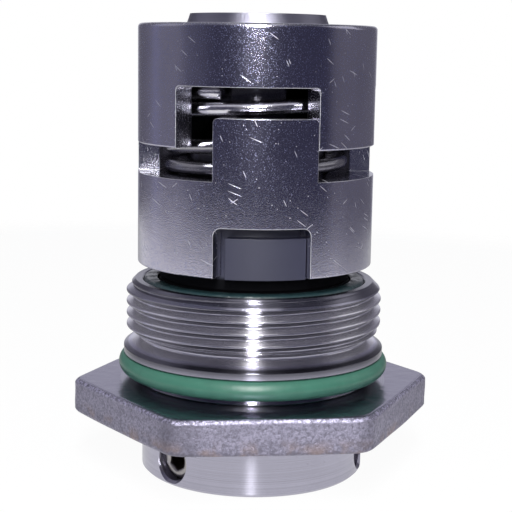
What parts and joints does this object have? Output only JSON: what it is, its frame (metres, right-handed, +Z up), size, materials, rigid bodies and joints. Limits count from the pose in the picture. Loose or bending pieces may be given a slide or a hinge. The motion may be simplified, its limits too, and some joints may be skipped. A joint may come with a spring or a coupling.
{
  "type": "cartridge mechanical seal",
  "caption": "Cartridge mechanical seal: hexagon screwed housing with O-ring, sprung drive cups with interlocking lugs over hard seal rings, on a sleeve with a set-screw collar.",
  "frame": {"origin": "centre of the collar's bottom face, on the shaft axis", "axes": "+Z runs up the shaft axis from the collar to the sleeve's nose; two flats of the hexagon face -Y and +Y"},
  "size_m": [0.0464, 0.041, 0.0584],
  "materials": {
    "turned_steel": "turned, fine lines, bright",
    "cup_steel": "satin with short fine scratches",
    "spring_steel": "polished wire",
    "screw_steel": "plain bright",
    "seal_ceramic": "fine ground, dark blue-grey",
    "green_rubber": "smooth satin",
    "dark_rubber": "smooth satin, dark green"
  },
  "bodies": {
    "sleeve": {"shaft_sleeve": "turned_steel", "spring_retainer": "cup_steel", "retaining_ring": "spring_steel", "shaft_o_ring": "green_rubber"},
    "spring": {"compression_spring": "spring_steel"},
    "carrier": {"drive_carrier": "cup_steel", "rotating_seal_ring": "seal_ceramic", "rotating_ring_o_ring": "green_rubber"},
    "stator": {"hex_housing": "turned_steel", "housing_o_ring": "green_rubber", "stationary_seat": "seal_ceramic", "seat_cup_gasket": "dark_rubber"},
    "screw_1": {"set_screw_1": "screw_steel"},
    "screw_2": {"set_screw_2": "screw_steel"},
    "screw_3": {"set_screw_3": "screw_steel"}
  },
  "joints": [
    {"name": "spring_float", "type": "slide", "parent": "sleeve", "child": "spring", "axis": [0, 0, 1], "range_m": [0, 0.0035], "stiffness_N_per_m": 5000, "deforming": ["compression_spring"]},
    {"name": "drive_play", "type": "hinge", "parent": "spring", "child": "carrier", "pos_m": [0, 0, 0.03866], "axis": [0, 0, -1], "range_deg": [0, 19.5]},
    {"name": "seal_spin", "type": "hinge", "parent": "carrier", "child": "stator", "pos_m": [0, 0, 0.02503], "axis": [0, 0, 1], "continuous": true},
    {"name": "screw_1_feed", "type": "slide", "parent": "sleeve", "child": "screw_1", "axis": [0.7716, 0.6361, 0], "range_m": [-0.003, 0.0003]},
    {"name": "screw_2_feed", "type": "slide", "parent": "sleeve", "child": "screw_2", "axis": [-0.9367, 0.3502, 0], "range_m": [-0.003, 0.0003]},
    {"name": "screw_3_feed", "type": "slide", "parent": "sleeve", "child": "screw_3", "axis": [0.165, -0.9863, 0], "range_m": [-0.003, 0.0003]}
  ]
}
